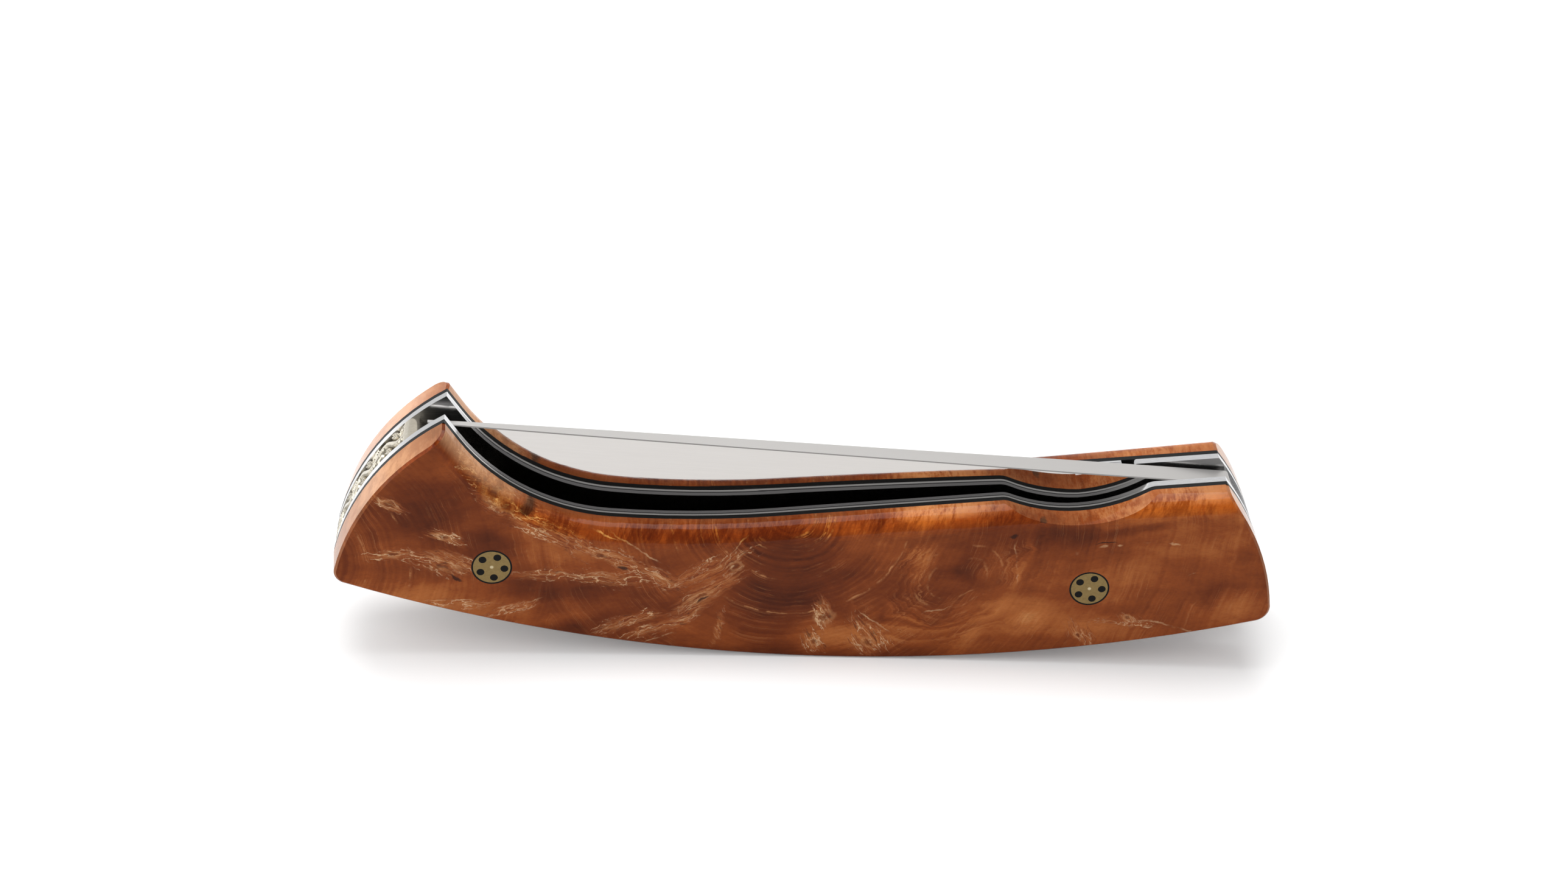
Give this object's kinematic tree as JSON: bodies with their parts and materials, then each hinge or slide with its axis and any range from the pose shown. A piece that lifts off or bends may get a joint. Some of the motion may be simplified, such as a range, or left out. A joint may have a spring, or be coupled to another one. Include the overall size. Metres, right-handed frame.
{
  "type": "folding pocket knife",
  "caption": "Folding pocket knife with a curved burl handle, steel liners, a flat ground blade, a liner lock, a filework backspacer and mosaic pins.",
  "frame": {"origin": "bottom centre of the closed knife's box, under the middle of the handle", "axes": "+X towards the pivot end, +Y towards the rear scale with the lock bar, +Z out of the blade slot"},
  "size_m": [0.1213, 0.0168, 0.0332],
  "materials": {
    "blade_steel": "mirror-polished stainless steel",
    "liner_steel": "polished stainless steel",
    "filework_steel": "filed and polished stainless steel",
    "hardware_steel": "turned steel",
    "washer_bronze": "phosphor bronze sheet",
    "pin_brass": "polished brass, dulled",
    "black_fibre": "vulcanised fibre sheet, cut edge",
    "black_resin": "cast epoxy, polished",
    "burl_wood": "stabilised burl, polished clear finish"
  },
  "bodies": {
    "handle": {"front_liner": "liner_steel", "rear_liner": "liner_steel", "front_fibre": "black_fibre", "rear_fibre": "black_fibre", "front_scale": "burl_wood", "rear_scale": "burl_wood", "backspacer": "filework_steel", "spacer_screws_front": "hardware_steel", "spacer_screws_rear": "hardware_steel", "pivot_barrel": "hardware_steel", "pivot_screw_front": "hardware_steel", "pivot_screw_rear": "hardware_steel", "front_washer": "washer_bronze", "rear_washer": "washer_bronze", "stop_pin": "hardware_steel", "butt_pin": "pin_brass", "fore_pin_front": "pin_brass", "fore_pin_rear": "pin_brass", "pin_resin_dots": "black_resin", "pin_resin_rings": "black_resin"},
    "blade": {"blade": "blade_steel"},
    "lock": {"lock_bar": "liner_steel", "detent_ball": "hardware_steel"}
  },
  "joints": [
    {"name": "blade_fold", "type": "hinge", "parent": "handle", "child": "blade", "pos_m": [0.0483, 0, 0.0163], "axis": [0, 1, 0], "range_deg": [0, 180]},
    {"name": "lock_flex", "type": "hinge", "parent": "handle", "child": "lock", "pos_m": [0.008, 0.00275, 0.018], "axis": [0, 0, -1], "range_deg": [0, 2.1], "deforming": ["lock_bar"]}
  ],
  "couplings": [
    {"joint": "lock_flex", "follows": "blade_fold", "ratio": 0.011667}
  ]
}
